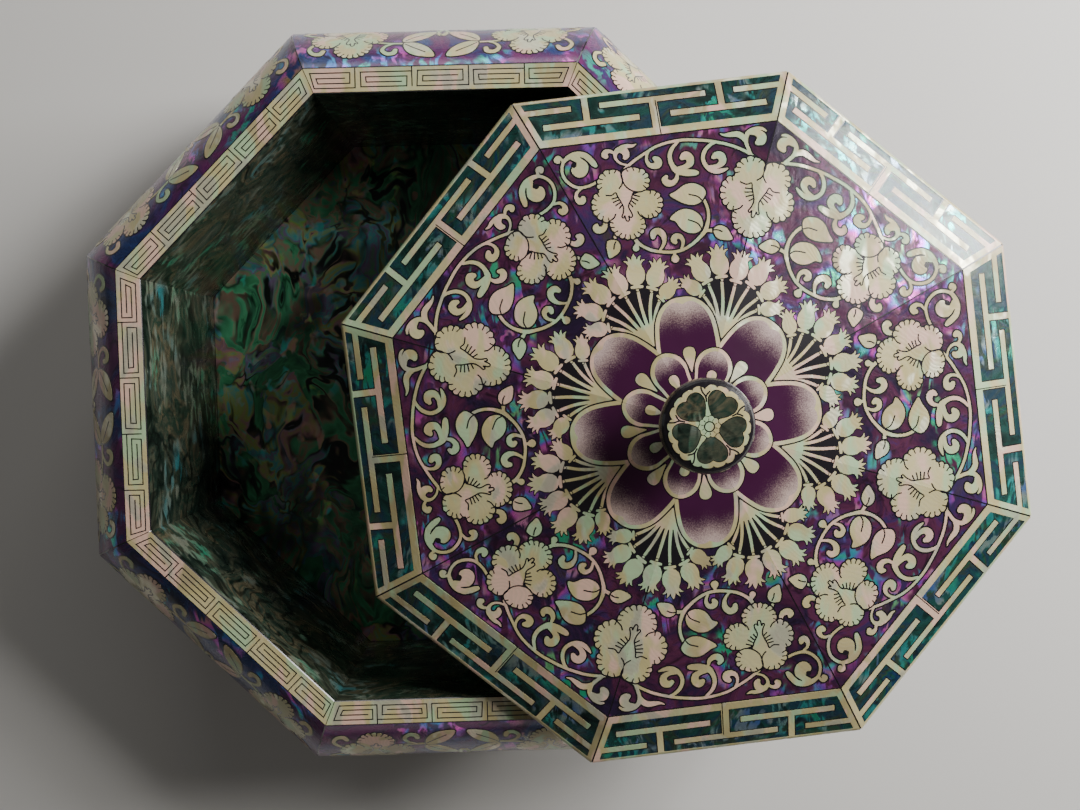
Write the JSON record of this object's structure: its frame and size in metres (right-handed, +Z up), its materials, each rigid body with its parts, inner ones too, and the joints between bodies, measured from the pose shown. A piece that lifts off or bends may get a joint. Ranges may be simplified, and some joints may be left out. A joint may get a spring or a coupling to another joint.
{
  "type": "octagonal shell-inlaid lacquer box",
  "caption": "Eight-sided lacquered box with swelling sides and a loose low-domed lid with a knob, inlaid all over with shell; holds sweets, dry food or trinkets.",
  "frame": {"origin": "middle of the box's underside, which is also under the middle of its octagon", "axes": "+Z up through the well; the box's flat sides face +X, -X, +Y, -Y and the diagonals; the lid is pushed askew towards +X"},
  "size_m": [0.3838, 0.312, 0.1372],
  "materials": {
    "shell_inlay": "wood covered with thin violet, blue and green shell under clear high-gloss lacquer",
    "black_lacquer": "turned wood in black high-gloss lacquer, with a shell-inlaid top"
  },
  "bodies": {
    "root": {"box_body": "shell_inlay", "lid": "shell_inlay", "knob": "black_lacquer"}
  },
  "joints": []
}
